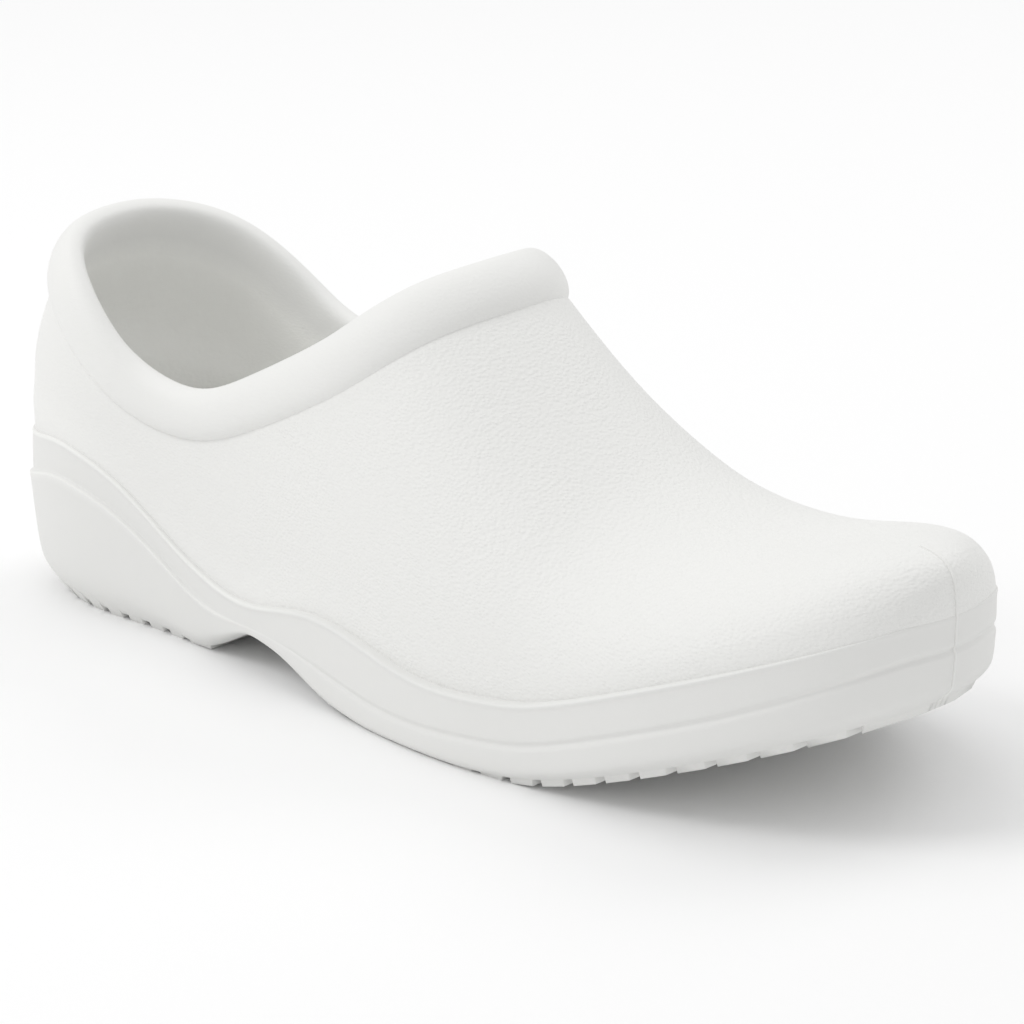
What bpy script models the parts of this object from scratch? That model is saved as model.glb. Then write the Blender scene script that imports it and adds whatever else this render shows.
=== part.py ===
"""White slip-on work shoe, right foot: a moulded foam clog with a rolled collar.

Metres, +Z up, toe towards +X, the foot's outer side towards -Y, standing on the floor at Z = 0.
Tables hold shares: the first column is the place along the shoe, from heel (0) to toe (1),
and the other columns are shares of the named sizes that their functions multiply.
"""
import bpy
import bmesh
import numpy as np

# Driving sizes
LENGTH = 0.286
BALL_WIDTH = 0.102
INSTEP_HEIGHT = 0.109
HEEL_HEIGHT = 0.0855
RIM_HEIGHT = 0.054
DECK_HEIGHT = 0.025
TOE_SPRING = 0.030
ARCH_RISE = 0.0103
TOE_DROP = 0.007
BACK_LEAN = 0.013
WALL = 0.004
GAP = 0.0003

# Collar roll
ROLL_HEIGHT = 0.016
ROLL_DEPTH = 0.0082
ROLL_BULGE = 0.0030
THROAT = 0.538

# Sole
SIDE_OUT = 0.0026
LIP_OUT = 0.0013
LIP_ROUND = 0.0012
HEEL_STEP = 0.0008
GROOVE_DEPTH = 0.0006
GROOVE_WIDTH = 0.0016
UNDERCUT = 0.006
SEAT_DEPTH = 0.004
TREAD = 0.0035
NOTCH_DEPTH = 0.002
NOTCH_WIDTH = 0.003
NOTCH_SLOPE = 0.0004
FORE_PITCH = 0.0095
HEEL_PITCH = 0.0075
CHANNEL_WIDTH = 0.0026
TIP_LUG = 0.0007
LAST_LUG = 0.0017
INSOLE_THICKNESS = 0.004
INSOLE_BORDER = 0.012
INSOLE_DISH = 0.001
INSOLE_CLEARANCE = 0.0012

# Shares of the length, of a height or of a pitch
HEEL_ROUND = {"reach": 0.15, "power": 2.2}
TOE_ROUND = {"reach": 0.26, "power": 2.15}
TOE_TIP = {"reach": 0.07, "power": 2.2}
BACK_FADE = {"reach": 0.35, "power": 1.5}
FLAT_SOLE = {"start": 0.08, "end": 0.68}
HEEL_TREAD = {"start": 0.0008, "end": 0.268}
FORE_TREAD = {"start": 0.445, "end": 0.9992}
TREAD_RAMP = 0.008
TREAD_CLEAR = 0.002
TUCK = {"tread": 1.0, "edge": 0.6, "shoulder": 0.15}
SHOULDER = 0.3
FIRST_LUG = 0.7

SECTIONS = {
    "columns": ("share", "outer", "inner", "ridge", "offset", "square", "round"),
    "rows": (
        (0.00, 0.390, 0.355, 1.25, -0.060, 3.0, 2.4),
        (0.15, 0.374, 0.355, 1.25, 0.000, 3.0, 2.4),
        (0.30, 0.380, 0.355, 1.22, 0.014, 2.8, 2.4),
        (0.42, 0.430, 0.363, 1.165, 0.014, 2.4, 2.2),
        (0.50, 0.473, 0.362, 1.010, 0.016, 2.2, 2.1),
        (0.60, 0.504, 0.405, 0.770, 0.018, 2.1, 2.1),
        (0.70, 0.510, 0.460, 0.578, 0.032, 2.2, 2.1),
        (0.80, 0.507, 0.481, 0.450, 0.042, 2.3, 2.2),
        (0.90, 0.497, 0.467, 0.410, 0.035, 2.4, 2.3),
        (1.00, 0.485, 0.422, 0.358, 0.005, 2.4, 2.3),
    ),
}
SOLE = {
    "columns": ("share", "spring", "arch", "rim", "line", "deck", "undercut"),
    "rows": (
        (0.00, 0.10, 0.00, 0.926, 0.695, 1.00, 1.22),
        (0.04, 0.02, 0.00, 0.895, 0.697, 1.00, 1.38),
        (0.08, 0.00, 0.00, 0.872, 0.695, 1.00, 1.36),
        (0.16, 0.00, 0.00, 0.750, 0.595, 0.98, 1.03),
        (0.24, 0.00, 0.00, 0.484, 0.355, 0.90, 0.70),
        (0.27, 0.00, 0.04, 0.407, 0.267, 0.86, 0.51),
        (0.33, 0.00, 1.00, 0.343, 0.237, 0.78, 0.40),
        (0.38, 0.00, 0.79, 0.392, 0.231, 0.72, 0.36),
        (0.44, 0.00, 0.17, 0.438, 0.194, 0.62, 0.33),
        (0.50, 0.00, 0.00, 0.410, 0.150, 0.53, 0.33),
        (0.58, 0.00, 0.00, 0.350, 0.140, 0.47, 0.36),
        (0.68, 0.00, 0.00, 0.382, 0.188, 0.49, 0.45),
        (0.78, 0.25, 0.00, 0.414, 0.216, 0.49, 0.50),
        (0.90, 0.65, 0.00, 0.427, 0.232, 0.50, 0.60),
        (1.00, 1.00, 0.00, 0.432, 0.280, 0.50, 0.96),
    ),
}
SIDE_MARKS = {
    "columns": ("share", "step", "groove"),
    "rows": (
        (0.00, 1.0, 0.0),
        (0.24, 1.0, 0.0),
        (0.31, 0.0, 0.0),
        (0.38, 0.0, 0.0),
        (0.48, 0.0, 1.0),
        (1.00, 0.0, 1.0),
    ),
}
# The crease under the collar roll; in front of the throat it only spaces the rings of the vamp
COLLAR = {
    "columns": ("share", "heel", "instep"),
    "rows": (
        (0.00, 1.000, 0.000),
        (0.06, 0.900, 0.000),
        (0.14, 0.716, 0.000),
        (0.22, 0.590, 0.033),
        (0.28, 0.475, 0.127),
        (0.34, 0.346, 0.289),
        (0.40, 0.192, 0.491),
        (0.46, 0.055, 0.699),
        (0.50, 0.000, 0.828),
        (0.60, 0.000, 0.980),
        (0.70, 0.000, 0.900),
        (0.80, 0.000, 0.840),
        (0.90, 0.000, 0.980),
        (1.00, 0.000, 1.210),
    ),
}
BACK_LINE = {
    "columns": ("height above the rim", "lean"),
    "rows": (
        (0.00, 0.00),
        (0.30, -0.18),
        (0.65, 0.02),
        (1.00, 0.43),
        (1.40, 0.97),
    ),
}

# Material colours
FOAM_WHITE = (0.80, 0.80, 0.785)
INSOLE_WHITE = (0.74, 0.74, 0.72)
TREAD_WHITE = (0.77, 0.77, 0.75)

# Mesh counts, and how the rings of the upper crowd together towards the toe and sweep back
SIDE_STATIONS = 30
TOE_RINGS = 4
VAMP_RINGS = 12
RING_CROWDING = 1.4
RING_SWEEP = 1.5
ROLL_STEPS = 9
LUG_COLUMNS = 5


def smooth_curve(x, y):
    """A natural cubic spline through the points of a table."""
    x, y = np.asarray(x, float), np.asarray(y, float)
    count, step = len(x), np.diff(x)
    slopes = np.diff(y) / step
    matrix, right = np.eye(count), np.zeros(count)
    for i in range(1, count - 1):
        matrix[i, i - 1:i + 2] = step[i - 1], 2 * (step[i - 1] + step[i]), step[i]
        right[i] = 6 * (slopes[i] - slopes[i - 1])
    bend = np.linalg.solve(matrix, right)

    def value(t):
        t = np.clip(np.asarray(t, float), x[0], x[-1])
        i = np.clip(np.searchsorted(x, t) - 1, 0, count - 2)
        a, b = (x[i + 1] - t) / step[i], (t - x[i]) / step[i]
        curve = (a ** 3 - a) * bend[i] + (b ** 3 - b) * bend[i + 1]
        return a * y[i] + b * y[i + 1] + curve * step[i] ** 2 / 6
    return value


def columns(table):
    """One smooth function for each named column of a table."""
    data = np.array(table["rows"])
    return {name: smooth_curve(data[:, 0], data[:, k])
            for k, name in enumerate(table["columns"]) if k}


def straight(table, name):
    """A column read with straight lines between its rows."""
    data = np.array(table["rows"])
    k = table["columns"].index(name)
    return lambda s: np.interp(s, data[:, 0], data[:, k])


section = columns(SECTIONS)
sole = columns(SOLE)
collar = columns(COLLAR)
back_line = columns(BACK_LINE)["lean"]
arch_share = straight(SOLE, "arch")
step_share = straight(SIDE_MARKS, "step")
groove_share = straight(SIDE_MARKS, "groove")


def lift(s):
    """Height of the toe spring and the heel spring under the sole."""
    flat = (s > FLAT_SOLE["start"]) & (s < FLAT_SOLE["end"])
    return TOE_SPRING * np.where(flat, 0, np.maximum(sole["spring"](s), 0))


def floor_line(s):
    return lift(s) + ARCH_RISE * arch_share(s)


def rim(s):
    """Top edge of the sole's side wall."""
    return lift(s) + RIM_HEIGHT * sole["rim"](s)


def side_line(s):
    """The second line around the side wall."""
    return lift(s) + RIM_HEIGHT * sole["line"](s)


def deck(s):
    return lift(s) + DECK_HEIGHT * sole["deck"](s)


def ridge(s):
    """Top line of the vamp and toe box, rounded over at the tip."""
    near_tip = np.clip(1 - (1 - s) / TOE_TIP["reach"], 0, 1)
    drop = 1 - np.sqrt(1 - near_tip ** TOE_TIP["power"])
    return lift(s) + INSTEP_HEIGHT * section["ridge"](s) - TOE_DROP * drop


def crease(s):
    """Height of the crease under the collar roll."""
    return HEEL_HEIGHT * collar["heel"](s) + INSTEP_HEIGHT * collar["instep"](s)


def end_round(s):
    """1 along the middle of the shoe, closing to 0 at the heel and the toe."""
    value = np.ones_like(s)
    for near, end in ((s, HEEL_ROUND), (1 - s, TOE_ROUND)):
        into = np.clip(1 - near / end["reach"], 0, 1)
        value = value * (1 - into ** end["power"]) ** (1 / end["power"])
    return value


def half_widths(s):
    width = BALL_WIDTH * end_round(s)
    return BALL_WIDTH * section["offset"](s), width * section["outer"](s), width * section["inner"](s)


def surface(s, z, side):
    """Point of the upper's outside at a share, a height and a side (-1 outer, 1 inner)."""
    middle, outer, inner = half_widths(s)
    up = np.clip((z - rim(s)) / (ridge(s) - rim(s)), 0, 1)
    spread = (1 - up ** section["square"](s)) ** (1 / section["round"](s))
    y = middle - outer * spread if side < 0 else middle + inner * spread
    near_heel = np.clip(1 - s / BACK_FADE["reach"], 0, 1) ** BACK_FADE["power"]
    lean = BACK_LEAN * near_heel * back_line((z - rim(s)) / (crease(s) - rim(s)))
    return np.stack([(s - 0.5) * LENGTH + lean, y, z], -1)


def closed_ring(outer_side, inner_side):
    """One loop from heel to toe along the outer side and back along the inner side."""
    outer_side[0] = (outer_side[0] + inner_side[0]) / 2
    outer_side[-1] = (outer_side[-1] + inner_side[-1]) / 2
    return np.concatenate([outer_side, inner_side[1:-1][::-1]])


def waist_ends():
    """Shares where the seats of the two treads end, and where the step down from each ends."""
    heel_seat, fore_seat = HEEL_TREAD["end"] + TREAD_CLEAR, FORE_TREAD["start"] - TREAD_CLEAR
    return [heel_seat, heel_seat + TREAD_RAMP, fore_seat - TREAD_RAMP, fore_seat]


def stations():
    """Shares from heel to toe, closer together at the two ends, with those of the waist's ends."""
    even = (1 - np.cos(np.pi * np.linspace(0, 1, SIDE_STATIONS + 1))) / 2
    kept = [s for s in even if all(abs(s - end) > TREAD_RAMP for end in waist_ends())]
    return np.array(sorted(kept + waist_ends()))


def outline(s, grow):
    """Plan loop of the upper at the rim, moved outward by grow."""
    middle, outer, inner = half_widths(s)
    x = (s - 0.5) * LENGTH
    loop = closed_ring(np.stack([x, middle - outer], -1), np.stack([x, middle + inner], -1))
    along = np.roll(loop, -1, 0) - np.roll(loop, 1, 0)
    outward = np.stack([along[:, 1], -along[:, 0]], -1)
    outward /= np.linalg.norm(outward, axis=1, keepdims=True)
    share = np.concatenate([s, s[1:-1][::-1]])
    amount = grow(share) if callable(grow) else grow
    return loop + outward * np.reshape(amount, (-1, 1))


def share_at(x):
    return np.clip(x / LENGTH + 0.5, 0, 1)


def level(s, grow, height):
    """A ring of the sole: an outline moved outward by grow, its heights worked out along the shoe."""
    loop = outline(s, grow)
    return np.column_stack([loop, height(share_at(loop[:, 0]))])


def extrude_ring(bm, verts, points):
    """Extrudes a closed loop of vertices and moves the new loop onto its points."""
    edges = [bm.edges.get((a, b)) for a, b in zip(verts, verts[1:] + verts[:1])]
    grown = bmesh.ops.extrude_edge_only(bm, edges=edges)["geom"]
    fresh = {item for item in grown if isinstance(item, bmesh.types.BMVert)}
    ring = [next(e.other_vert(v) for e in v.link_edges if e.other_vert(v) in fresh) for v in verts]
    for vert, point in zip(ring, points):
        vert.co = point
    return ring


def close_across(bm, ring):
    """Fills a loop and joins each outer point to the inner point across from it."""
    edges = [bm.edges.get((a, b)) for a, b in zip(ring, ring[1:] + ring[:1])]
    bmesh.ops.contextual_create(bm, geom=edges)
    for k in range(1, len(ring) // 2):
        bmesh.ops.connect_verts(bm, verts=[ring[k], ring[-k]], check_degenerate=False)


def material(name, color, roughness):
    made = bpy.data.materials.new(name)
    made.use_nodes = True
    shader = made.node_tree.nodes["Principled BSDF"]
    shader.inputs["Base Color"].default_value = (*color, 1)
    shader.inputs["Roughness"].default_value = roughness
    shader.inputs["Metallic"].default_value = 0
    return made


def make_object(name, bm, surface_material, sharp_angle=40):
    bmesh.ops.recalc_face_normals(bm, faces=bm.faces)
    mesh = bpy.data.meshes.new(name)
    bm.to_mesh(mesh)
    bm.free()
    mesh.shade_smooth()
    mesh.set_sharp_from_angle(angle=np.radians(sharp_angle))
    mesh.materials.append(surface_material)
    made = bpy.data.objects.new(name, mesh)
    bpy.context.collection.objects.link(made)
    return made


def ring_solid(name, rings, surface_material, hollow=False):
    """A solid skinned over rings, closed at both ends, or bent round onto its first ring."""
    bm = bmesh.new()
    circle = bmesh.ops.create_circle(bm, segments=len(rings[0]), radius=1)["verts"]
    for vert, point in zip(circle, rings[0]):
        vert.co = point
    ring = list(circle)
    for points in rings[1:]:
        ring = extrude_ring(bm, ring, points)
    if hollow:
        extrude_ring(bm, ring, rings[0])
        bmesh.ops.remove_doubles(bm, verts=bm.verts, dist=1e-6)
    else:
        close_across(bm, list(circle))
        close_across(bm, ring)
    return make_object(name, bm, surface_material)


def outer_rings():
    """Loops of the upper's outside, from the seat in the sole up to the crease of the collar."""
    toe_low, toe_high = rim(1.0), ridge(1.0)
    fronts = [(1.0, z) for z in np.linspace(toe_low, toe_high, TOE_RINGS + 1)[:-1]]
    along_vamp = np.linspace(0, 1, VAMP_RINGS + 1) ** RING_CROWDING
    fronts += [(f, ridge(f)) for f in 1 - (1 - THROAT) * along_vamp]
    even = stations()
    rings = [level(even, 0.0, lambda s: rim(s) - SEAT_DEPTH)]
    for front, top in fronts:
        s = even - (1 - front) * even ** RING_SWEEP
        up = (top - rim(front)) / (crease(front) - rim(front))
        z = rim(s) + (crease(s) - rim(s)) * up
        rings.append(closed_ring(surface(s, z, -1), surface(s, z, 1)))
    return np.array(rings)


def ring_normals(rings):
    """Outward directions, and the upward step from ring to ring."""
    around = np.roll(rings, -1, 1) - np.roll(rings, 1, 1)
    upward = np.gradient(rings, axis=0)
    outward = np.cross(around, upward)
    outward /= np.linalg.norm(outward, axis=2, keepdims=True)
    return outward, upward


def roll_rings(base, outward, upward):
    """The collar roll: a rounded bead standing on the crease, thicker than the wall both ways."""
    upward = upward / np.linalg.norm(upward, axis=1, keepdims=True)
    rings = []
    for angle in np.radians(np.linspace(-55, 225, ROLL_STEPS)):
        out = ROLL_BULGE - ROLL_DEPTH / 2 * (1 - np.cos(angle))
        up = ROLL_HEIGHT / 2 * (1 + np.sin(angle))
        rings.append(base + outward * out + upward * up)
    return rings


def make_upper(foam):
    outside = outer_rings()
    outward, upward = ring_normals(outside)
    flat = np.array([1, 1, 0])
    outward[:2] = outward[:2] * flat / np.linalg.norm(outward[:2] * flat, axis=2, keepdims=True)
    inside = outside - outward * WALL
    roll = roll_rings(outside[-1], outward[-1], upward[-1])
    rings = list(outside) + roll + list(inside[::-1])
    return ring_solid("upper", rings, foam, hollow=True)


def tread_cover(s):
    """Thickness that the treads take from under the midsole: none across the waist."""
    heel_seat, heel_foot, fore_foot, fore_seat = waist_ends()
    places = [heel_seat + TREAD_CLEAR, heel_foot, fore_foot, fore_seat - TREAD_CLEAR]
    return (TREAD + GAP) * np.interp(s, places, [1, 0, 0, 1])


def tucked(place):
    """Outward reach along the shoe at a place low on the side wall, which turns in to the tread."""
    return lambda s: SIDE_OUT - UNDERCUT * TUCK[place] * sole["undercut"](s)


def make_midsole(foam):
    half = GROOVE_WIDTH / 2

    def low(s):
        return floor_line(s) + tread_cover(s)

    def shoulder(s):
        return low(s) + SHOULDER * (side_line(s) - half - low(s))

    def below_line(s):
        return SIDE_OUT + HEEL_STEP * step_share(s)

    def on_line(s):
        return SIDE_OUT + HEEL_STEP * step_share(s) / 2 - GROOVE_DEPTH * groove_share(s)

    def seat(s):
        return rim(s) - SEAT_DEPTH - GAP

    s = stations()
    rings = [
        level(s, tucked("edge"), low),
        level(s, tucked("shoulder"), shoulder),
        level(s, below_line, lambda t: side_line(t) - half),
        level(s, on_line, side_line),
        level(s, SIDE_OUT, lambda t: side_line(t) + half),
        level(s, (SIDE_OUT + LIP_OUT + LIP_ROUND) / 2, lambda t: rim(t) - LIP_ROUND),
        level(s, LIP_OUT, rim),
        level(s, GAP, rim),
        level(s, GAP, seat),
        level(s, -WALL - GAP, seat),
        level(s, -WALL - 2 * GAP, deck),
    ]
    return ring_solid("midsole", rings, foam)


def make_insole(foam):
    def under(s):
        return deck(s) + GAP

    s = stations()
    edge = -WALL - INSOLE_CLEARANCE
    rings = [
        level(s, edge, under),
        level(s, edge, lambda t: under(t) + INSOLE_THICKNESS),
        level(s, edge - INSOLE_BORDER, lambda t: under(t) + INSOLE_THICKNESS - INSOLE_DISH),
    ]
    return ring_solid("insole", rings, foam)


def tread_rows(start, end, pitch):
    """Pairs of share and depth share down the tread: flat lugs with notches between them."""
    notch, slope, tip = np.array([NOTCH_WIDTH, NOTCH_SLOPE, TIP_LUG]) / LENGTH
    rows = [(start, 0.0), (start + tip, 0.0)]
    place = start + FIRST_LUG * pitch / LENGTH
    while place + notch < end - LAST_LUG / LENGTH:
        rows += [(place, 0.0), (place + slope, 1.0), (place + notch - slope, 1.0), (place + notch, 0.0)]
        place += pitch / LENGTH
    return rows + [(end - tip, 0.0), (end, 0.0)]


def tread_columns():
    """Pairs of place across the tread and depth share: lugs with a channel between them."""
    half = CHANNEL_WIDTH / BALL_WIDTH / 2
    places = [(0.0, 0.0)]
    for k in range(1, LUG_COLUMNS):
        middle = k / LUG_COLUMNS
        places += [(middle - half, 0.0), (middle, 1.0), (middle + half, 0.0)]
    return places + [(1.0, 0.0)]


def make_tread(name, zone, pitch, foam):
    rows, across = tread_rows(zone["start"], zone["end"], pitch), tread_columns()
    shares = np.array([row[0] for row in rows])
    ends = np.concatenate([[0.0], shares, [1.0]])
    low, high = outline(ends, tucked("tread")), outline(ends, tucked("edge"))
    count = len(rows)

    def pair(loop, i):
        return loop[1 + i], loop[len(loop) - 1 - i]

    bm = bmesh.new()
    cell = bm.verts.layers.int.new("cell")
    bmesh.ops.create_grid(bm, x_segments=count - 1, y_segments=len(across) - 1, size=0.5)
    for vert in bm.verts:
        i = round((vert.co.x + 0.5) * (count - 1))
        j = round((vert.co.y + 0.5) * (len(across) - 1))
        place, channel = across[j]
        a, b = pair(low, i)
        x, y = a + (b - a) * place
        depth = NOTCH_DEPTH * max(channel, rows[i][1])
        vert.co = (x, y, floor_line(share_at(x)) + depth)
        vert[cell] = i * len(across) + j
    rim_edges = [e for e in bm.edges if e.is_boundary]
    grown = bmesh.ops.extrude_edge_only(bm, edges=rim_edges)["geom"]
    top = {v for v in grown if isinstance(v, bmesh.types.BMVert)}
    sides = {}
    for vert in top:
        i, j = divmod(vert[cell], len(across))
        a, b = pair(high, i)
        x, y = a + (b - a) * across[j][0]
        vert.co = (x, y, floor_line(share_at(x)) + tread_cover(share_at(x)) - GAP)
        sides[i, j] = vert
    bmesh.ops.contextual_create(bm, geom=[e for e in bm.edges if e.is_boundary])
    last = len(across) - 1
    for i in range(1, count - 1):
        bmesh.ops.connect_verts(bm, verts=[sides[i, 0], sides[i, last]], check_degenerate=False)
    return make_object(name, bm, foam, sharp_angle=30)


def stand_on_floor(objects):
    """Centres the whole shoe over the origin, with its lowest point on the floor."""
    corners = np.array([v.co for made in objects for v in made.data.vertices])
    low, high = corners.min(0), corners.max(0)
    for made in objects:
        made.location = (-(low[0] + high[0]) / 2, -(low[1] + high[1]) / 2, -low[2])


def build():
    for old in list(bpy.data.objects):
        bpy.data.objects.remove(old)
    foam = material("white_foam", FOAM_WHITE, roughness=0.55)
    soft = material("insole_foam", INSOLE_WHITE, roughness=0.8)
    firm = material("tread_foam", TREAD_WHITE, roughness=0.6)
    shoe = [
        make_upper(foam),
        make_midsole(foam),
        make_insole(soft),
        make_tread("outsole_heel", HEEL_TREAD, HEEL_PITCH, firm),
        make_tread("outsole_forefoot", FORE_TREAD, FORE_PITCH, firm),
    ]
    stand_on_floor(shoe)


build()
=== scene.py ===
# %% [markdown]
# # A white slip-on work shoe
# The real shoe is moulded from white EVA foam: a leathery upper with a fat rolled collar,
# a stepped side wall and a tread cut into blocks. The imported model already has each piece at
# its real size, so this notebook loads it as a fixed frame and then dresses it: every visible
# piece is remade with a finer mesh in the same place, and gets the finish that foam has.

import bmesh
import bpy
import numpy as np
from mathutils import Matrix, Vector


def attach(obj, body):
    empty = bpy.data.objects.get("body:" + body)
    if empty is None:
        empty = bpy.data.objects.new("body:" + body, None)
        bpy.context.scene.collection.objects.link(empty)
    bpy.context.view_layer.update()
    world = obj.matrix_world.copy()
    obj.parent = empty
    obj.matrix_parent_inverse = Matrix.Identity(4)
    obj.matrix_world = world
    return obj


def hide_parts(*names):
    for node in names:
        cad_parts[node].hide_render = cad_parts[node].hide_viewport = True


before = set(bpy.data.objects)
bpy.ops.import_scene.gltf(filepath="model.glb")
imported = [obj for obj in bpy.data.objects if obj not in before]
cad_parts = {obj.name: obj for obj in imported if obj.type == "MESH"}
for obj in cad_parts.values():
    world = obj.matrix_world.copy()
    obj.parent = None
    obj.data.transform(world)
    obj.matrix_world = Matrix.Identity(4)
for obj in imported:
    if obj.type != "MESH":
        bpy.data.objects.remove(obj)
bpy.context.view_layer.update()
print("Nodes:", ", ".join(sorted(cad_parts)))

# %% [markdown]
# ## The camera
# The picture looks down a little on the outer side and the toe. A long lens far away keeps the
# shoe's proportions calm. The camera could be aimed with a Track To constraint, but two
# angles and a distance say the same thing in numbers that are easy to change.

# %% Place the camera
CAMERA_TURN, CAMERA_RISE, CAMERA_DISTANCE = 43.42, 18.66, 1.3
LENS_MM = 184.8
WATCHED_POINT = Vector((0, 0, 0.05))
AIM_RIGHT, AIM_DOWN = 0.0029, 0.0062

turn, rise = np.radians(CAMERA_TURN), np.radians(CAMERA_RISE)
towards_camera = Vector((np.sin(turn) * np.cos(rise), -np.cos(turn) * np.cos(rise), np.sin(rise)))
facing = towards_camera.to_track_quat("Z", "Y")
camera = bpy.data.objects.new("photo_camera", bpy.data.cameras.new("photo_camera"))
bpy.context.scene.collection.objects.link(camera)
camera.location = WATCHED_POINT + towards_camera * CAMERA_DISTANCE
aim = WATCHED_POINT + facing @ Vector((AIM_RIGHT, -AIM_DOWN, 0))
camera.rotation_mode = "QUATERNION"
camera.rotation_quaternion = (camera.location - aim).to_track_quat("Z", "Y")
camera.data.lens = LENS_MM
camera.data.clip_end = 20
bpy.context.scene.camera = camera
print("Camera at", [round(v, 3) for v in camera.location])

# %% [markdown]
# ## Light and floor
# White goods are shot on a white table inside a light tent: light comes from everywhere, a
# little more of it from above and from the heel's side. A bright world does the tent's part
# and three large area lights do the rest, so the shadow under the sole stays soft. The
# Standard view transform keeps white as white.

# %% A floor and a tent of light
FLOOR_SIZE = 8.0
FLOOR_WHITE = 0.93
TENT_STRENGTH = 0.714

scene = bpy.context.scene
scene.view_settings.view_transform = "Standard"


def plain_material(name, color, roughness):
    """A Principled material with only a colour and a roughness."""
    made = bpy.data.materials.new(name)
    made.use_nodes = True
    shader = made.node_tree.nodes["Principled BSDF"]
    shader.inputs["Base Color"].default_value = (*color, 1)
    shader.inputs["Roughness"].default_value = roughness
    return made, shader


bm = bmesh.new()
bmesh.ops.create_grid(bm, x_segments=1, y_segments=1, size=FLOOR_SIZE / 2)
floor_mesh = bpy.data.meshes.new("floor")
bm.to_mesh(floor_mesh)
bm.free()
floor = bpy.data.objects.new("floor", floor_mesh)
scene.collection.objects.link(floor)
floor_white, floor_shader = plain_material("floor_white", (FLOOR_WHITE,) * 3, 0.9)
floor_shader.inputs["Specular IOR Level"].default_value = 0.1
floor_mesh.materials.append(floor_white)

world = bpy.data.worlds.new("light_tent")
scene.world = world
world.use_nodes = True
world.node_tree.nodes["Background"].inputs["Color"].default_value = (1, 1, 1, 1)
world.node_tree.nodes["Background"].inputs["Strength"].default_value = TENT_STRENGTH


def softbox(name, place, size, power):
    """A large square area light that faces the middle of the shoe."""
    light = bpy.data.lights.new(name, "AREA")
    light.size, light.energy = size, power
    made = bpy.data.objects.new(name, light)
    scene.collection.objects.link(made)
    made.location = place
    made.rotation_mode = "QUATERNION"
    made.rotation_quaternion = (Vector(place) - WATCHED_POINT).to_track_quat("Z", "Y")


softbox("top_softbox", (-0.35, 0.1, 1.6), 1.0, 3.0)
softbox("side_softbox", (-0.8, -1.1, 1.4), 0.8, 9.5)
softbox("back_softbox", (0.2, 1.3, 1.3), 1.0, 4.8)

# %% [markdown]
# ## Foam that looks like leather
# The mould of the upper was etched with a leather grain: flat pebbles just under a millimetre
# across with soft valleys between them. A Voronoi texture makes pebbles, and noise bends their
# borders so that they don't look like a pattern. The grain is faint on the collar roll and
# left off the sole's wall, where the real shoe is smooth, so each piece stores how much it has
# in a vertex attribute called "grain", and the material reads it. A second attribute marks
# painted light. It mixes in a whiter colour on the inside of the shoe, painted lighter to lift
# the shade in there, and gives a painted highlight to the crests of the lines on the heel.

# %% A material for grained and smooth foam
PEBBLE_SIZE = 0.0009
PEBBLE_STRETCH = (0.85, 0.85, 1.35)
PEBBLE_BEND, PEBBLE_SOFTNESS = 0.6, 0.6
PATCHES_PER_METRE = 45
PATCH_RANGE, LEAST_GRAIN = (0.35, 0.6), 0.75
SHEEN_SPREAD, DULL_PATCH = 0.06, 0.985
PORE_SIZE = 0.0004
# The whiter colour of painted light: lighter shade inside the shoe and highlights on the heel's
# crests.
PAINTED_LIGHT_WHITE = (0.93, 0.93, 0.905)


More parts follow.
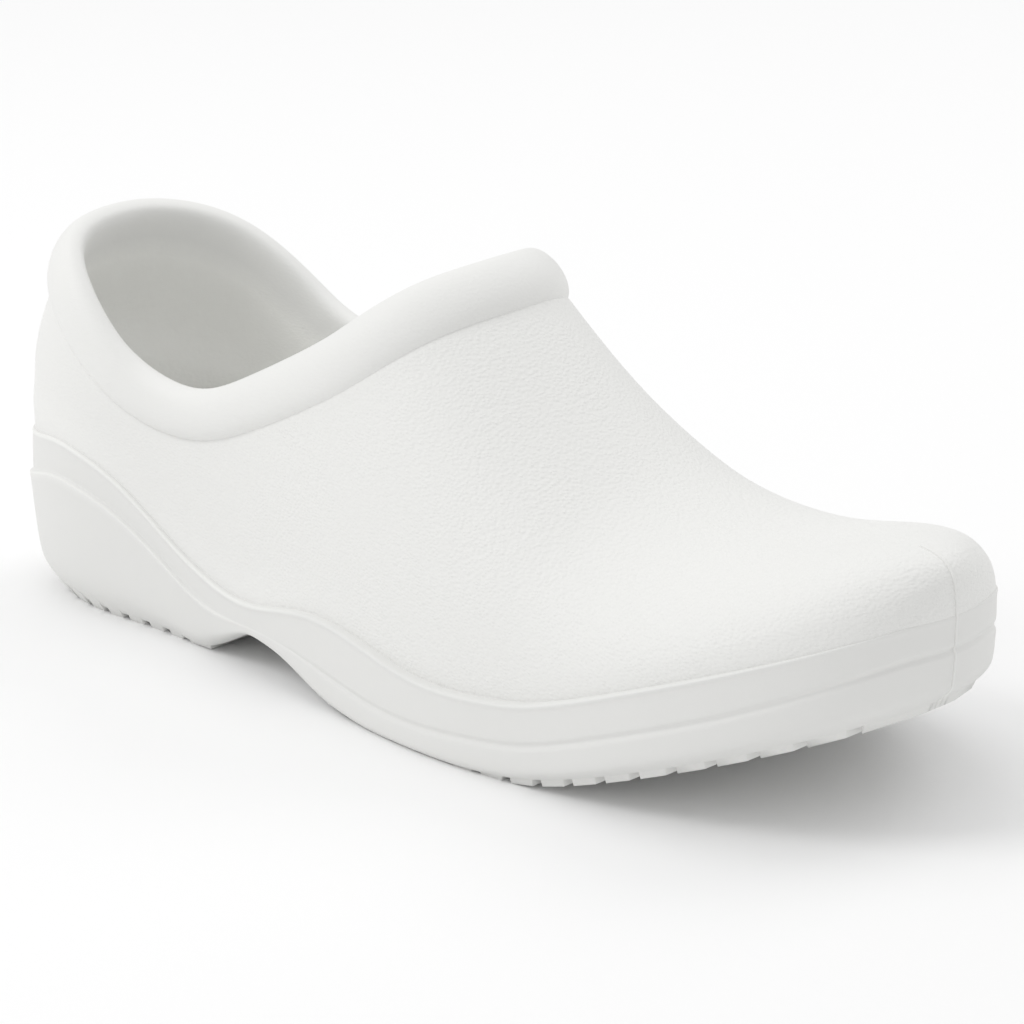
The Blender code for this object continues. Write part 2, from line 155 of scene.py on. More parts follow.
def foam_material(name, color, roughness, grain_depth, pore_depth):
    """White foam, pebbled where the grain attribute is 1 and whiter with painted light where the
    second one is.
    """
    made, shader = plain_material(name, color, roughness)
    nodes, links = made.node_tree.nodes, made.node_tree.links

    def node(kind, **settings):
        new = nodes.new(kind)
        for key, value in settings.items():
            setattr(new, key, value)
        return new

    place = node("ShaderNodeTexCoord")
    bend = node("ShaderNodeTexNoise")
    bend.inputs["Scale"].default_value = 1 / (2 * PEBBLE_SIZE)
    bend.inputs["Detail"].default_value = 2
    links.new(place.outputs["Object"], bend.inputs["Vector"])
    bent = node("ShaderNodeVectorMath", operation="MULTIPLY_ADD")
    bent.inputs[1].default_value = (PEBBLE_BEND * PEBBLE_SIZE,) * 3
    links.new(bend.outputs["Color"], bent.inputs[0])
    flatter = node("ShaderNodeVectorMath", operation="MULTIPLY")
    flatter.inputs[1].default_value = PEBBLE_STRETCH
    links.new(place.outputs["Object"], flatter.inputs[0])
    links.new(flatter.outputs["Vector"], bent.inputs[2])
    pebbles = node("ShaderNodeTexVoronoi", feature="SMOOTH_F1")
    pebbles.inputs["Scale"].default_value = 1 / PEBBLE_SIZE
    pebbles.inputs["Smoothness"].default_value = PEBBLE_SOFTNESS
    links.new(bent.outputs["Vector"], pebbles.inputs["Vector"])
    domes = node("ShaderNodeMath", operation="MULTIPLY_ADD")
    domes.inputs[1].default_value = -1
    domes.inputs[2].default_value = 1
    links.new(pebbles.outputs["Distance"], domes.inputs[0])
    grain = node("ShaderNodeAttribute", attribute_name="grain")
    patchy = node("ShaderNodeTexNoise")
    patchy.inputs["Scale"].default_value = PATCHES_PER_METRE
    links.new(place.outputs["Object"], patchy.inputs["Vector"])
    evener = node("ShaderNodeMapRange")
    evener.inputs["From Min"].default_value = PATCH_RANGE[0]
    evener.inputs["From Max"].default_value = PATCH_RANGE[1]
    evener.inputs["To Min"].default_value = LEAST_GRAIN
    links.new(patchy.outputs["Fac"], evener.inputs["Value"])
    amount = node("ShaderNodeMath", operation="MULTIPLY")
    links.new(grain.outputs["Fac"], amount.inputs[0])
    links.new(evener.outputs["Result"], amount.inputs[1])
    height = node("ShaderNodeMath", operation="MULTIPLY")
    links.new(domes.outputs["Value"], height.inputs[0])
    links.new(amount.outputs["Value"], height.inputs[1])

    pores = node("ShaderNodeTexNoise")
    pores.inputs["Scale"].default_value = 1 / PORE_SIZE
    links.new(place.outputs["Object"], pores.inputs["Vector"])
    pebble_bump = node("ShaderNodeBump")
    pebble_bump.inputs["Distance"].default_value = grain_depth
    links.new(height.outputs["Value"], pebble_bump.inputs["Height"])
    pore_bump = node("ShaderNodeBump")
    pore_bump.inputs["Distance"].default_value = pore_depth
    links.new(pores.outputs["Fac"], pore_bump.inputs["Height"])
    links.new(pebble_bump.outputs["Normal"], pore_bump.inputs["Normal"])
    links.new(pore_bump.outputs["Normal"], shader.inputs["Normal"])

    sheen = node("ShaderNodeMapRange")
    sheen.inputs["To Min"].default_value = roughness - SHEEN_SPREAD
    sheen.inputs["To Max"].default_value = roughness + SHEEN_SPREAD
    links.new(patchy.outputs["Fac"], sheen.inputs["Value"])
    links.new(sheen.outputs["Result"], shader.inputs["Roughness"])
    tint = node("ShaderNodeMixRGB", blend_type="MIX")
    tint.inputs["Color1"].default_value = (*(DULL_PATCH * c for c in color), 1)
    tint.inputs["Color2"].default_value = (*color, 1)
    links.new(patchy.outputs["Fac"], tint.inputs["Fac"])
    # Painted light: where the second attribute is 1 the colour turns whiter, for lighter shade
    # inside and highlights on the crests.
    painted_light = node("ShaderNodeAttribute", attribute_name="painted_light")
    painted_light_mix = node("ShaderNodeMixRGB", blend_type="MIX")
    painted_light_mix.inputs["Color2"].default_value = (*PAINTED_LIGHT_WHITE, 1)
    links.new(painted_light.outputs["Fac"], painted_light_mix.inputs["Fac"])
    links.new(tint.outputs["Color"], painted_light_mix.inputs["Color1"])
    links.new(painted_light_mix.outputs["Color"], shader.inputs["Base Color"])
    return made


upper_foam = foam_material("upper_foam", (0.83, 0.83, 0.812), 0.58, 0.00020, 0.00002)
wall_foam = foam_material("wall_foam", (0.785, 0.785, 0.768), 0.58, 0.0001, 0.00002)
tread_foam = foam_material("tread_foam", (0.78, 0.78, 0.762), 0.62, 0.0002, 0.00004)
footbed_foam = foam_material("footbed_foam", (0.86, 0.86, 0.838), 0.65, 0.0002, 0.00004)
print("Finishes:", upper_foam.name, wall_foam.name, tread_foam.name, footbed_foam.name)

# %% [markdown]
# ## Curves from short tables
# Shoemakers draw a last from a few measured places along its length, and a flexible ruler
# gives the line between them. A natural cubic spline is that ruler. Each table below names
# its columns, and its first column is the place along the shoe, from heel (0) to toe (1).

# %% A flexible ruler
def smooth_curve(x, y):
    """A natural cubic spline through the points of a table."""
    x, y = np.asarray(x, float), np.asarray(y, float)
    count, step = len(x), np.diff(x)
    slopes = np.diff(y) / step
    matrix, right = np.eye(count), np.zeros(count)
    for i in range(1, count - 1):
        matrix[i, i - 1:i + 2] = step[i - 1], 2 * (step[i - 1] + step[i]), step[i]
        right[i] = 6 * (slopes[i] - slopes[i - 1])
    bend = np.linalg.solve(matrix, right)

    def value(t):
        t = np.clip(np.asarray(t, float), x[0], x[-1])
        i = np.clip(np.searchsorted(x, t) - 1, 0, count - 2)
        a, b = (x[i + 1] - t) / step[i], (t - x[i]) / step[i]
        curve = (a ** 3 - a) * bend[i] + (b ** 3 - b) * bend[i + 1]
        return a * y[i] + b * y[i + 1] + curve * step[i] ** 2 / 6
    return value


def columns(names, rows):
    """One smooth function for each named column of a table."""
    data = np.array(rows)
    return {name: smooth_curve(data[:, 0], data[:, k + 1]) for k, name in enumerate(names)}


def straight(place, table):
    """A value read from a small dictionary with straight lines between its entries."""
    return np.interp(place, list(table), list(table.values()))


# %% [markdown]
# ## The last
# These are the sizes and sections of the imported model, so that the finer pieces lie where the
# solids are. The sections say how far the upper reaches to the outer and the inner side, how
# high its ridge is, and how square or round each cross-section is. THROAT and the curves from
# BACK_DIP on go a little beyond the solids: the wall's lines dip round the heel, the upper
# flares at both ends, and along the sides the crease under the collar is higher and the roll
# slimmer.

# %% Sizes and sections of the last
LENGTH, BALL_WIDTH = 0.286, 0.102
INSTEP_HEIGHT, HEEL_HEIGHT = 0.109, 0.0855
RIM_HEIGHT, DECK_HEIGHT = 0.054, 0.025
TOE_SPRING, ARCH_RISE, TOE_DROP, BACK_LEAN = 0.030, 0.0103, 0.007, 0.013
WALL, GAP, SEAT_DEPTH = 0.004, 0.0003, 0.004
THROAT = 0.540
FLAT_SOLE = (0.08, 0.68)
HEEL_ROUND, TOE_ROUND = (0.15, 2.2), (0.26, 2.15)
TIP_REACH, TIP_POWER = 0.07, 2.2
LEAN_REACH, LEAN_POWER = 0.35, 1.5

section = columns(("outer", "inner", "ridge", "offset", "square", "round"), (
    (0.00, 0.390, 0.355, 1.25, -0.060, 3.0, 2.4),
    (0.15, 0.374, 0.355, 1.25, 0.000, 3.0, 2.4),
    (0.30, 0.380, 0.355, 1.22, 0.014, 2.8, 2.4),
    (0.42, 0.430, 0.363, 1.165, 0.014, 2.4, 2.2),
    (0.50, 0.473, 0.362, 1.010, 0.016, 2.2, 2.1),
    (0.60, 0.504, 0.405, 0.770, 0.018, 2.1, 2.1),
    (0.70, 0.510, 0.460, 0.578, 0.032, 2.2, 2.1),
    (0.80, 0.507, 0.481, 0.450, 0.042, 2.3, 2.2),
    (0.90, 0.497, 0.467, 0.410, 0.035, 2.4, 2.3),
    (1.00, 0.485, 0.422, 0.358, 0.005, 2.4, 2.3),
))
sole = columns(("spring", "rim", "line", "deck", "undercut"), (
    (0.00, 0.10, 0.926, 0.695, 1.00, 1.22),
    (0.04, 0.02, 0.895, 0.697, 1.00, 1.38),
    (0.08, 0.00, 0.872, 0.695, 1.00, 1.36),
    (0.16, 0.00, 0.750, 0.595, 0.98, 1.03),
    (0.24, 0.00, 0.484, 0.355, 0.90, 0.70),
    (0.27, 0.00, 0.407, 0.267, 0.86, 0.51),
    (0.33, 0.00, 0.343, 0.237, 0.78, 0.40),
    (0.38, 0.00, 0.392, 0.231, 0.72, 0.36),
    (0.44, 0.00, 0.438, 0.194, 0.62, 0.33),
    (0.50, 0.00, 0.410, 0.150, 0.53, 0.33),
    (0.58, 0.00, 0.350, 0.140, 0.47, 0.36),
    (0.68, 0.00, 0.382, 0.188, 0.49, 0.45),
    (0.78, 0.25, 0.414, 0.216, 0.49, 0.50),
    (0.90, 0.65, 0.427, 0.232, 0.50, 0.60),
    (1.00, 1.00, 0.432, 0.280, 0.50, 0.96),
))
collar = columns(("heel", "instep"), (
    (0.00, 1.000, 0.000),
    (0.06, 0.900, 0.000),
    (0.14, 0.716, 0.000),
    (0.22, 0.590, 0.033),
    (0.28, 0.475, 0.127),
    (0.34, 0.346, 0.289),
    (0.40, 0.192, 0.491),
    (0.46, 0.055, 0.699),
    (0.50, 0.000, 0.828),
    (0.60, 0.000, 0.980),
    (0.70, 0.000, 0.900),
    (0.80, 0.000, 0.840),
    (0.90, 0.000, 0.980),
    (1.00, 0.000, 1.210),
))
back_lean = columns(("lean",), (
    (0.00, 0.00), (0.30, -0.18), (0.65, 0.02), (1.00, 0.43), (1.40, 0.97)))["lean"]
ARCH = {0.24: 0.0, 0.27: 0.04, 0.33: 1.0, 0.38: 0.79, 0.44: 0.17, 0.50: 0.0}
HEEL_STEP_FADE = {0.24: 1.0, 0.31: 0.0}
GROOVE_FADE = {0.38: 0.0, 0.48: 1.0}
BACK_DIP, BACK_DIP_REACH, BACK_DIP_POWER = 0.0107, 0.10, 1.6
FLARE = smooth_curve(
    (0, 0.2, 0.45, 0.75, 0.88, 1), (19e-4, 18e-4, 7e-4, 3e-4, 14e-4, 26e-4))
FLARE_REACH = {0.3: 0.005, 0.7: 0.012}
CREASE_RISE = smooth_curve(
    (0, 0.15, 0.20, 0.24, 0.28, 0.34, 0.40, 0.46, 0.50, 0.525, 0.54, 0.60, 0.7, 1),
    (0, 0, 4e-4, 14e-4, 28e-4, 33e-4, 32e-4, 28e-4, 23e-4, 14e-4, 6e-4, 0, 0, 0))
ROLL_TALL = smooth_curve(
    (0, 0.1, 0.2, 0.26, 0.32, 0.38, 0.43, 0.50, 0.52, 0.54, 1),
    (160e-4, 160e-4, 147e-4, 132e-4, 133e-4, 142e-4,
     149e-4, 156e-4, 158e-4, 156e-4, 156e-4))
print("Last:", LENGTH, "m long,", BALL_WIDTH, "m across the ball")

# %% [markdown]
# ## Lines along the shoe
# Every height of the shoe is a function of the place along it: the floor line with its heel
# breast and arch, the rim where the upper meets the wall, and the crease under the collar.
# Writing each as a small function lets all the pieces ask for the same line.

# %% Height lines
def lift(s):
    """Height of the toe spring and the heel spring under the sole."""
    flat = (s > FLAT_SOLE[0]) & (s < FLAT_SOLE[1])
    return TOE_SPRING * np.where(flat, 0, np.maximum(sole["spring"](s), 0))


def floor_line(s):
    return lift(s) + ARCH_RISE * straight(s, ARCH)


def rim(s):
    return lift(s) + RIM_HEIGHT * sole["rim"](s)


def back_dip(s):
    """How far the two lines of the wall dip as they run round the back of the heel."""
    return BACK_DIP * np.clip(1 - s / BACK_DIP_REACH, 0, 1) ** BACK_DIP_POWER


def lip(s):
    return rim(s) - back_dip(s)


def side_line(s):
    return lift(s) + RIM_HEIGHT * sole["line"](s) - back_dip(s)


def deck(s):
    return lift(s) + DECK_HEIGHT * sole["deck"](s)


def ridge(s):
    """Top line of the vamp and toe box, rounded over at the tip."""
    near_tip = np.clip(1 - (1 - s) / TIP_REACH, 0, 1)
    drop = TOE_DROP * (1 - np.sqrt(1 - near_tip ** TIP_POWER))
    return lift(s) + INSTEP_HEIGHT * section["ridge"](s) - drop


def crease(s):
    """Height of the crease under the collar roll."""
    of_solid = HEEL_HEIGHT * collar["heel"](s) + INSTEP_HEIGHT * collar["instep"](s)
    return of_solid + CREASE_RISE(s)


print("Crease over the heel:", round(float(crease(0.0)) * 1000), "mm, throat:",
      round(float(crease(THROAT)) * 1000), "mm")

# %% [markdown]
# ## The surface of the upper
# Seen from above the shoe is an egg-shaped outline with a round heel and a rounder toe. Each
# cross-section is a superellipse, which can be anything between a circle and a box, and the
# back leans forward over the heel. One function turns a place, a height and a side into a point.

# %% Points on the upper and outlines of the sole
def end_round(s):
    """1 along the middle of the shoe, closing to 0 at the heel and the toe."""
    value = np.ones_like(s)
    for near, reach, power in ((s, *HEEL_ROUND), (1 - s, *TOE_ROUND)):
        value = value * (1 - np.clip(1 - near / reach, 0, 1) ** power) ** (1 / power)
    return value


def half_widths(s):
    """The middle line's sideways shift, and the reach to the outer and the inner side."""
    width = BALL_WIDTH * end_round(s)
    return [size * section[name](s) for size, name in
            ((BALL_WIDTH, "offset"), (width, "outer"), (width, "inner"))]


def surface(s, z, side):
    """Point of the upper's outside at a place, a height and a side (-1 outer, 1 inner)."""
    middle, outer, inner = half_widths(s)
    up = np.clip((z - rim(s)) / (ridge(s) - rim(s)), 0, 1)
    spread = (1 - up ** section["square"](s)) ** (1 / section["round"](s))
    y = middle - outer * spread if side < 0 else middle + inner * spread
    near_heel = np.clip(1 - s / LEAN_REACH, 0, 1) ** LEAN_POWER
    lean = BACK_LEAN * near_heel * back_lean((z - rim(s)) / (crease(s) - rim(s)))
    return np.stack([(s - 0.5) * LENGTH + lean, y, z], -1)


def closed_ring(outer_side, inner_side):
    """One loop from heel to toe along the outer side and back along the inner side."""
    outer_side[0] = (outer_side[0] + inner_side[0]) / 2
    outer_side[-1] = (outer_side[-1] + inner_side[-1]) / 2
    return np.concatenate([outer_side, inner_side[1:-1][::-1]])


def stations(count):
    """Places from heel to toe, closer together at the two ends."""
    return (1 - np.cos(np.pi * np.linspace(0, 1, count + 1))) / 2


def outline(s, grow):
    """Plan loop of the upper at the rim, moved outward by grow."""
    middle, outer, inner = half_widths(s)
    x = (s - 0.5) * LENGTH
    loop = closed_ring(np.stack([x, middle - outer], -1), np.stack([x, middle + inner], -1))
    along = np.roll(loop, -1, 0) - np.roll(loop, 1, 0)
    outward = np.stack([along[:, 1], -along[:, 0]], -1)
    outward /= np.linalg.norm(outward, axis=1, keepdims=True)
    places = np.concatenate([s, s[1:-1][::-1]])
    amount = grow(places) if callable(grow) else grow
    return loop + outward * np.reshape(amount, (-1, 1))


def level(s, grow, height):
    """A ring of the sole: an outline moved outward, with its heights worked out along the shoe."""
    loop = outline(s, grow)
    return np.column_stack([loop, height(np.clip(loop[:, 0] / LENGTH + 0.5, 0, 1))])


STATIONS = stations(64)
around = outline(STATIONS, 0.0)
print("Rim outline:", len(around), "points,",
      round(float(np.ptp(around[:, 1])) * 1000), "mm wide")

# %% [markdown]
# ## Skin over rings
# A hull or a shoe can be skinned over a stack of rings. The flat grid that create_grid makes
# has just the right faces for it: its columns go round the shoe and its rows from ring to
# ring. Each of its points is moved to its ring, and merging closes the seam. A Subdivision
# Surface modifier then rounds what lies between the rings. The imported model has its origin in
# the middle of its box, so every ring moves from the last's own middle line to there.

# %% A helper that skins a stack of rings
TO_FRAME = Vector((0.0004, -0.001455, 0.0))


def on_rings(values, rings):
    """A number for each point, from one number, one for each ring or one for each point."""
    values = np.asarray(values, float)
    if values.ndim == 1:
        values = values[:, None]
    return np.broadcast_to(values, (len(rings), len(rings[0])))


def skin(name, rings, material, grain, painted_light=0.0, hollow=False, levels=1):
    """A closed piece over rings of equal count; a hollow one joins its last ring to its first."""
    grain, painted_light = on_rings(grain, rings), on_rings(painted_light, rings)
    if hollow:
        rings, grain, painted_light = [np.concatenate([rows, rows[:1]]) for rows in (rings, grain, painted_light)]
    rows, around = len(rings), len(rings[0])
    bm = bmesh.new()
    grain_layer = bm.verts.layers.float.new("grain")
    # This layer carries the painted light that the material mixes in as a whiter colour.
    painted_light_layer = bm.verts.layers.float.new("painted_light")
    bmesh.ops.create_grid(bm, x_segments=rows - 1, y_segments=around, size=0.5)
    for vert in bm.verts:
        i = round((vert.co.x + 0.5) * (rows - 1))
        j = round((vert.co.y + 0.5) * around) % around
        vert.co = rings[i][j]
        vert[grain_layer] = grain[i, j]
        vert[painted_light_layer] = painted_light[i, j]
    bmesh.ops.translate(bm, verts=bm.verts, vec=TO_FRAME)
    bmesh.ops.remove_doubles(bm, verts=bm.verts, dist=1e-7)
    bmesh.ops.recalc_face_normals(bm, faces=bm.faces)
    return finish_piece(name, bm, material, levels)


def finish_piece(name, bm, material, levels=0):
    """Turns a bmesh into a smooth-shaded object that rides on the shoe."""
    mesh = bpy.data.meshes.new(name)
    bm.to_mesh(mesh)
    bm.free()
    mesh.shade_smooth()
    mesh.materials.append(material)
    made = bpy.data.objects.new(name, mesh)
    scene.collection.objects.link(made)
    if levels:
        rounding = made.modifiers.new("rounding", "SUBSURF")
        rounding.levels = rounding.render_levels = levels
    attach(made, "root")
    print(name, "-", len(mesh.polygons), "faces before subdivision")
    return made


def caps(ring, shares=(0.3, 0.65, 1.0)):
    """Rings that close a loop towards its middle line."""
    across = np.concatenate([ring[:1], ring[1:][::-1]])
    middle = (ring + across) / 2
    return [ring + (middle - ring) * share for share in shares]


def capped(rings):
    """A stack of rings with both of its ends closed."""
    return caps(rings[0])[::-1] + rings + caps(rings[-1])


# %% [markdown]
# ## The upper
# The upper is one moulding: it comes up out of the sole, sweeps over the toes and the instep,
# and ends in a thick rolled collar. It could be sculpted, but rings keep the wall an even
# 4 mm: the outer rings are laid on the last, the roll is a bead standing on the topmost one,
# and the inner rings are the outer ones moved inward along their normals. Close to the wall
# the foam flares out a little, most of all at the toe, where upper and wall are nearly flush.

# %% Rings of the upper
TOE_RINGS, VAMP_RINGS, ROLL_STEPS = 8, 26, 20
RING_CROWDING, RING_SWEEP = 1.4, 1.5
ROLL_DEPTH, ROLL_BULGE = 0.0082, 0.0030
ROLL_START, ROLL_SQUARE = -80, 0.6
SWELL_REACH = 0.012
CREASE_EDGE = {0.0: 0.5, 0.2: 0.35, 0.4: 0.08}


def outer_rings():
    """Loops of the upper's outside, from the seat in the sole up to the crease of the collar."""
    vamp = 1 - (1 - THROAT) * np.linspace(0, 1, VAMP_RINGS + 1) ** RING_CROWDING
    fronts = [(1.0, z) for z in np.linspace(rim(1.0), ridge(1.0), TOE_RINGS + 1)[:-1]]
    fronts += [(front, ridge(front)) for front in vamp]
    rings = [level(STATIONS, 0.0, lambda s: lip(s) - SEAT_DEPTH)]
    for front, top in fronts:
        s = STATIONS - (1 - front) * STATIONS ** RING_SWEEP
        up = (top - rim(front)) / (crease(front) - rim(front))
        z = rim(s) + (crease(s) - rim(s)) * up
        rings.append(closed_ring(surface(s, z, -1), surface(s, z, 1)))
    return np.array(rings)


def ring_normals(rings):
    """Outward directions, and the upward step from ring to ring."""
    around = np.roll(rings, -1, 1) - np.roll(rings, 1, 1)
    upward = np.gradient(rings, axis=0)
    outward = np.cross(around, upward)
    outward /= np.linalg.norm(outward, axis=2, keepdims=True)
    return outward, upward


def roll_rings(base, outward, upward, tall):
    """The collar roll: a bead standing on the crease, round outside and squarer inside."""
    upward = upward / np.linalg.norm(upward, axis=1, keepdims=True)
    rings = []
    for angle in np.radians(np.linspace(ROLL_START, 180, ROLL_STEPS)):
        power = ROLL_SQUARE if np.cos(angle) < 0 else 1.0
        across, along = [np.sign(part) * abs(part) ** power
                         for part in (np.cos(angle), np.sin(angle))]
        out = ROLL_BULGE - ROLL_DEPTH / 2 * (1 - across)
        up = tall / 2 * (1 + along)
        rings.append(base + outward * out + upward * up[:, None])
    return rings


outside = outer_rings()
outward, upward = ring_normals(outside)
sideways = outward[:2] * np.array([1, 1, 0])
outward[:2] = sideways / np.linalg.norm(sideways, axis=2, keepdims=True)
places = np.clip(outside[..., 0] / LENGTH + 0.5, 0, 1)
over_rim = np.maximum(outside[..., 2] - rim(places), 0)
below_roll = np.linalg.norm(outside - outside[-1], axis=2)
swell = (ROLL_DEPTH - ROLL_BULGE - WALL) * np.exp(-below_roll / SWELL_REACH)
inside = outside - outward * (WALL + swell)[..., None]
flare = FLARE(places) * np.exp(-(over_rim / straight(places, FLARE_REACH)) ** 2)
outside += outward * flare[..., None]
crease_edge = straight(places[-1], CREASE_EDGE)[:, None]
tight_ring = outside[-1] + (outside[-2] - outside[-1]) * crease_edge
outside = np.concatenate([outside[:-1], [tight_ring], outside[-1:]])
roll = roll_rings(outside[-1], outward[-1], upward[-1], ROLL_TALL(places[-1]))
print("Rings:", len(outside), "outside,", len(roll), "on the roll,", len(inside), "inside")

# %% [markdown]
# The grain runs up to the crease under the collar roll and is fainter on the roll itself and
# round the heel. Inside the shoe it is back, as a lining.

# %% Build the upper
GRAIN_ALONG = {0.0: 0.35, 0.18: 0.5, 0.32: 1.0}
CREASE_GRAIN, ROLL_GRAIN = 0.6, 0.35

shares = ([1.0] * (len(outside) - 1) + [CREASE_GRAIN]
          + [ROLL_GRAIN] * len(roll) + [1.0] * len(inside))
grain = [share * straight(places[-1], GRAIN_ALONG) for share in shares]
# Painted light: the inside rings get the whiter colour, painted lighter to lift the shade inside
# the shoe.
painted_light = [0.0] * (len(outside) + len(roll)) + [1.0] * len(inside)
upper = skin("shoe_upper", [*outside, *roll, *inside[::-1]], upper_foam, grain, painted_light,
             hollow=True)
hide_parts("upper")

# %% [markdown]
# ## The side wall
# Around the shoe runs a thick wall with two lines: a rounded lip where the upper sinks in,
# and below it a step on the heel that turns into a shallow groove on the forefoot. Lower
# down the wall tucks in to the tread and closes over its outer edge, so that its channels
# show only as small notches, and the front corners of the heel are rounded. Its outward
# reaches and its heights are small functions again, some of them made by other functions.

# %% Reaches and heights of the wall
SIDE_OUT, HEEL_STEP, GROOVE_DEPTH = 0.0026, 0.0008, 0.0008
BEAD = {0.02: -0.0002, 0.12: 0.0004, 0.85: 0.0004, 0.98: 0.00015}
LINE_HALF = {0.28: 0.0003, 0.36: 0.00015, 0.48: 0.0010}
LINE_BEAD = {0.03: 0.0003, 0.10: 0.0007, 0.26: 0.0006, 0.34: 0.0}
UNDERCUT, TREAD = 0.006, 0.0035
NOTCH = {0.0: 0.0012, 0.225: 0.0012, 0.25: 0.0002, 0.63: 0.0002, 0.70: 0.0017}
TREAD_SPAN = {0.258: 1, 0.264: 0, 0.451: 0, 0.457: 1}
BREAST_TUCK, BREAST_PLACE, BREAST_REACH = 0.003, 0.295, 0.025
SHOULDER_TUCK, SHOULDER_SHARE = 0.15, 0.35


def sill(s):
    """Bottom of the wall, which leaves only the notches of the treads open."""
    return floor_line(s) + straight(s, NOTCH)


def base(s):
    """Underside of the wall over the treads; in the waist it is the sill itself."""
    over_tread = (TREAD + GAP) * straight(s, TREAD_SPAN)
    return floor_line(s) + np.maximum(straight(s, NOTCH), over_tread)


def breast_tuck(s):
    """How far the corners at the front of the heel are rounded inward."""
    return BREAST_TUCK * np.exp(-((s - BREAST_PLACE) / BREAST_REACH) ** 2)


def tucked(up, more=0.0):
    """Outward reach low on the wall: up is 0 at the sill and 1 at the shoulder above it."""
    share = SHOULDER_TUCK + (1 - SHOULDER_TUCK) * (1 - up) ** 2
    return lambda s: (SIDE_OUT - UNDERCUT * share * sole["undercut"](s)
                      - (1 - up) ** 2 * breast_tuck(s) - more)


def between(share, lower, upper_line):
    """A height line at a share of the way between two others."""
    return lambda s: lower(s) + share * (upper_line(s) - lower(s))


def above(line, step):
    """A height line moved up by a step, or down by a negative one."""
    return lambda s: line(s) + step


def under_line(s):
    return side_line(s) - straight(s, LINE_HALF)


def over_line(s):
    return side_line(s) + straight(s, LINE_HALF)


def wall_out(s):
    return SIDE_OUT + HEEL_STEP * straight(s, HEEL_STEP_FADE)


def groove_out(s):
    return (SIDE_OUT + HEEL_STEP * straight(s, HEEL_STEP_FADE) / 2
            - GROOVE_DEPTH * straight(s, GROOVE_FADE))


def seat(s):
    return lip(s) - SEAT_DEPTH - GAP


def bead(share):
    return lambda s: SIDE_OUT + share * straight(s, BEAD)


print("Wall height in mm at the heel, the ball and the toe:",
      [round(1000 * float(lip(s) - sill(s))) for s in (0.1, 0.65, 0.95)])

# %% [markdown]
# The stack of rings starts under the treads, goes up the outside and over the lip, and ends on
# the deck inside. Rings close together keep an edge tight under subdivision, and rings far
# apart let it go round, so a few rings are enough. Four of them are named by their place in
# the stack, counted from 0: the crests of the two lines get a painted highlight round the heel,
# and the seam at the toe will start where the shoulder does.

# %% Build the side wall
SHOULDER_RINGS = (0.04, 0.12, 0.3, 0.6, 1.0)
LIP_PROFILE = ((0.5, -0.0012), (1, -0.0006), (0.3, -0.0001))
SEAT_EDGE = -0.0016
FIRST_SHOULDER, LINE_CREST, LIP_CREST, LIP_BACK = 5, 12, 19, 20
# Painted highlight on the crests round the heel: this share of the whiter colour, fading out along
# the shoe.
CREST_HIGHLIGHT, CREST_HIGHLIGHT_FADE = 0.5, {0.30: 1.0, 0.42: 0.0}

wall = [
    level(STATIONS, tucked(0, 0.0030), base),
    level(STATIONS, tucked(0, 0.0016), base),
    level(STATIONS, tucked(0, 0.0013), lambda s: np.minimum(sill(s) + 0.0002, base(s))),
    level(STATIONS, tucked(0, 0.0008), sill),
    level(STATIONS, tucked(0, -0.0001), sill),
]
wall += [level(STATIONS, tucked(up, -0.0003), between(SHOULDER_SHARE * up, sill, under_line))
         for up in SHOULDER_RINGS]
wall += [
    level(STATIONS, lambda s: (wall_out(s) + tucked(1)(s)) / 2 + 0.0002,
          between(0.65, sill, under_line)),
    level(STATIONS, wall_out,
          lambda s: under_line(s) - np.minimum(0.0009, 0.2 * (under_line(s) - sill(s)))),
    level(STATIONS, lambda s: wall_out(s) + straight(s, LINE_BEAD), under_line),
    level(STATIONS, groove_out, side_line),
    level(STATIONS, SIDE_OUT, over_line),
    level(STATIONS, SIDE_OUT, above(over_line, 0.0009)),
    level(STATIONS, SIDE_OUT, between(0.5, side_line, lip)),
    level(STATIONS, lambda s: SIDE_OUT + np.minimum(straight(s, BEAD), 0), above(lip, -0.0018)),
]
wall += [level(STATIONS, bead(share), above(lip, step)) for share, step in LIP_PROFILE]
wall += [
    level(STATIONS, lambda s: np.maximum(SIDE_OUT - 0.0007, FLARE(s) + 0.0001),
          above(lip, 0.0001)),
    level(STATIONS, lambda s: np.minimum(FLARE(s) - 0.0004, 0.0012), above(lip, 0.0003)),
    level(STATIONS, SEAT_EDGE, lip),
    level(STATIONS, SEAT_EDGE, seat),
    level(STATIONS, -WALL - GAP, seat),
    level(STATIONS, -WALL - 2 * GAP, deck),
]
# Painted highlight: the crest rings of the two lines are mixed towards the whiter colour round the
# heel.
crest_highlights = np.zeros((len(wall), len(wall[0])))
crest_highlights[[LINE_CREST, LIP_CREST, LIP_BACK]] = CREST_HIGHLIGHT * straight(
    wall[0][:, 0] / LENGTH + 0.5, CREST_HIGHLIGHT_FADE)
cap_rows = np.zeros((len(caps(wall[0])), len(wall[0])))
midsole = skin("shoe_sole_wall", capped(wall), wall_foam, 0.0,
               [*cap_rows, *crest_highlights, *cap_rows], levels=2)
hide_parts("midsole")

# %% [markdown]
# ## The seam at the toe
# The two halves of the mould part along the middle of the toe, and a hair of foam is pressed
# out between them. It is a thin round bead that follows the front of the wall and the upper,
# sunk in so far that only its back shows.

# %% Build the toe seam
SEAM_RADIUS, SEAM_SINK, SEAM_SHIFT = 0.00038, 0.00004, 0.0014
UPPER_FROM, UPPER_TO = 2, 14

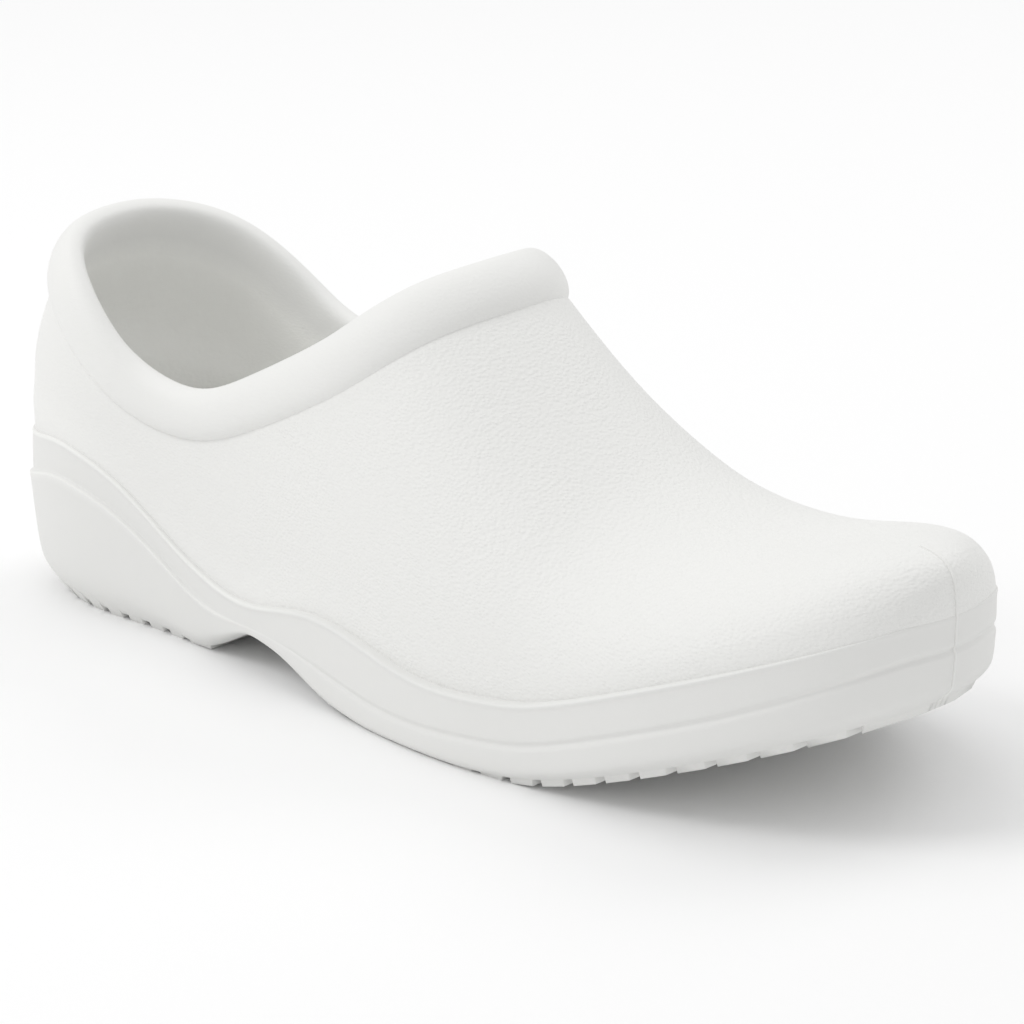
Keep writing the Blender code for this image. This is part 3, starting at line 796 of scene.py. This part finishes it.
toe_point = len(STATIONS) - 1
followed = [*wall[FIRST_SHOULDER:LIP_BACK], *outside[UPPER_FROM:UPPER_TO]]
route = np.array([ring[toe_point] for ring in followed])
route[:, 1] -= SEAM_SHIFT
steps = np.gradient(route, axis=0)
steps /= np.linalg.norm(steps, axis=1, keepdims=True)
beyond = np.stack([steps[:, 2], 0 * steps[:, 2], -steps[:, 0]], -1)
turns = np.radians(np.arange(0, 360, 45))[:, None]
away = SEAM_RADIUS * np.cos(turns) - SEAM_SINK
aside = np.array([0, 1, 0]) * SEAM_RADIUS * np.sin(turns)
seam_rings = [point + normal * away + aside for point, normal in zip(route, beyond)]
seam = skin("shoe_toe_seam", capped(seam_rings), upper_foam, 0.0)

# %% [markdown]
# ## The footbed
# Inside lies a removable foam footbed with soft edges. It follows the deck of the sole and is
# dished by a millimetre, so that the heel stays in its place.

# %% Build the footbed
INSOLE_THICKNESS, INSOLE_BORDER, INSOLE_DISH, INSOLE_CLEARANCE = 0.004, 0.012, 0.001, 0.0007
LOWER_EDGE, UPPER_EDGE = 0.0008, 0.0010


def footbed_height(share, dish=0.0):
    """Height in the footbed: share is 0 on its underside and 1 on its top."""
    return lambda s: deck(s) + GAP + share * INSOLE_THICKNESS - dish


edge = -WALL - INSOLE_CLEARANCE
footbed_rings = [
    level(STATIONS, edge - LOWER_EDGE, footbed_height(0)),
    level(STATIONS, edge, footbed_height(0.2)),
    level(STATIONS, edge, footbed_height(0.8)),
    level(STATIONS, edge - UPPER_EDGE, footbed_height(1)),
    level(STATIONS, edge - INSOLE_BORDER, footbed_height(1, INSOLE_DISH)),
]
footbed = skin("shoe_footbed", capped(footbed_rings), footbed_foam, 1.0)
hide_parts("insole")

# %% [markdown]
# ## The treads
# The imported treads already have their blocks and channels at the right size. Moulded foam
# has no knife edges, though, so each tread is copied, its loose triangles are merged, its
# flat faces are joined, and a Bevel modifier breaks the edges by a third of a millimetre. The
# copy's upper side goes up into the wall, and its corners follow those of the heel.

# %% Soften the treads
EDGE_BREAK, EDGE_SEGMENTS = 0.0003, 2
FLAT_ANGLE, SHARP_ANGLE = np.radians(0.5), np.radians(35)
TREAD_TOP, TREAD_RISE = 0.003, 0.0007
TUCK_FROM_MIDDLE = 0.02


def softened_tread(node, name):
    """A copy of an imported tread with its edges broken."""
    bm = bmesh.new()
    bm.from_mesh(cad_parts[node].data)
    bmesh.ops.remove_doubles(bm, verts=bm.verts, dist=1e-6)
    along = {vert: (vert.co.x - TO_FRAME.x) / LENGTH + 0.5 for vert in bm.verts}
    top = [vert for vert, s in along.items() if vert.co.z - floor_line(s) > TREAD_TOP]
    bmesh.ops.translate(bm, verts=top, vec=(0, 0, TREAD_RISE))
    for vert, s in along.items():
        share = min(1, abs(vert.co.y) / TUCK_FROM_MIDDLE) ** 2
        vert.co.y -= np.sign(vert.co.y) * share * breast_tuck(s)
    bmesh.ops.dissolve_limit(bm, angle_limit=FLAT_ANGLE, verts=bm.verts, edges=bm.edges)
    made = finish_piece(name, bm, tread_foam)
    broken = made.modifiers.new("broken_edges", "BEVEL")
    broken.width, broken.segments, broken.limit_method = EDGE_BREAK, EDGE_SEGMENTS, "ANGLE"
    broken.angle_limit = SHARP_ANGLE
    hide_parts(node)


softened_tread("outsole_heel", "shoe_heel_tread")
softened_tread("outsole_forefoot", "shoe_forefoot_tread")
